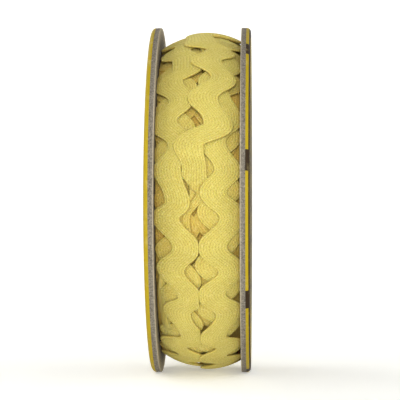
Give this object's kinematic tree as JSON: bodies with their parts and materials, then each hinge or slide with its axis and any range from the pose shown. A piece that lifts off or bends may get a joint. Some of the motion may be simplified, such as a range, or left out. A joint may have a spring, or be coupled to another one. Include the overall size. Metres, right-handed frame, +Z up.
{
  "type": "ric rac trim reel",
  "caption": "Reel of wavy ric rac trim wound in mirrored columns between printed card discs, loose end tucked in at the front, standing on its rims.",
  "frame": {"origin": "on the surface that the reel stands on, under the middle of the reel", "axes": "+X along the reel's axis, from the left disc to the right one; -Y is the front, where the loose end lies; +Z up"},
  "size_m": [0.0286, 0.1, 0.0998],
  "materials": {
    "card": "grey board faced with printed yellow paper, raw grey edge inside",
    "trim": "woven yellow ric rac with fine ribs along the waves"
  },
  "bodies": {
    "root": {"flange_left": "card", "flange_right": "card", "trim_winding": "trim", "trim_end": "trim"}
  },
  "joints": []
}
